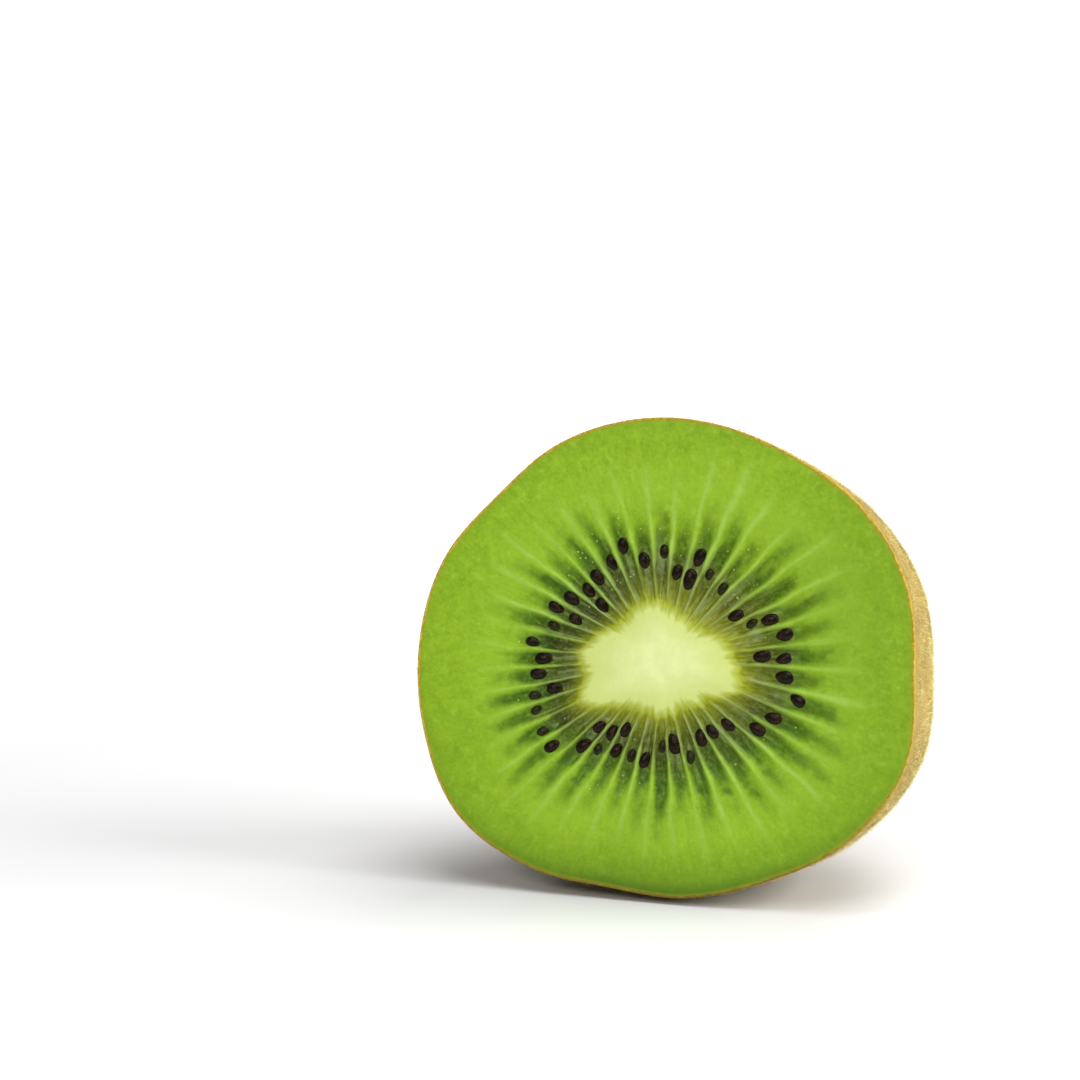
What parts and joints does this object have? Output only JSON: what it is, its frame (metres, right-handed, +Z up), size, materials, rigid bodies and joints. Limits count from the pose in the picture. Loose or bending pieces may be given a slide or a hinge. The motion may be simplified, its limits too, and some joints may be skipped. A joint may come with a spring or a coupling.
{
  "type": "kiwi fruit half",
  "caption": "Half of a fuzzy brown kiwi fruit cut crosswise, showing green flesh, a pale core and a ring of dark seeds, resting on its skin with the cut face upright.",
  "frame": {"origin": "on the floor, under the middle of the fruit's bounding box; it lies on the flat spot that the fruit rests on", "axes": "+X to the right across the cut face, +Y back into the fruit away from the cut face, +Z up"},
  "size_m": [0.055, 0.0392, 0.0502],
  "materials": {
    "flesh": "moist bright green fruit flesh with pale rays and darker seed chambers, slightly translucent, soft gloss",
    "core": "pale cream-green fruit core, dense and satin, with a feathered yellow-olive edge",
    "seed": "glossy black-brown seeds, wet, with brown glints",
    "skin": "thin matt olive-brown fruit skin, finely mottled",
    "fuzz": "short golden-brown fuzz, dense and soft",
    "scar": "dry dark brown stalk scar and withered remnants"
  },
  "bodies": {
    "root": {"kiwi_half": "flesh"}
  },
  "joints": []
}
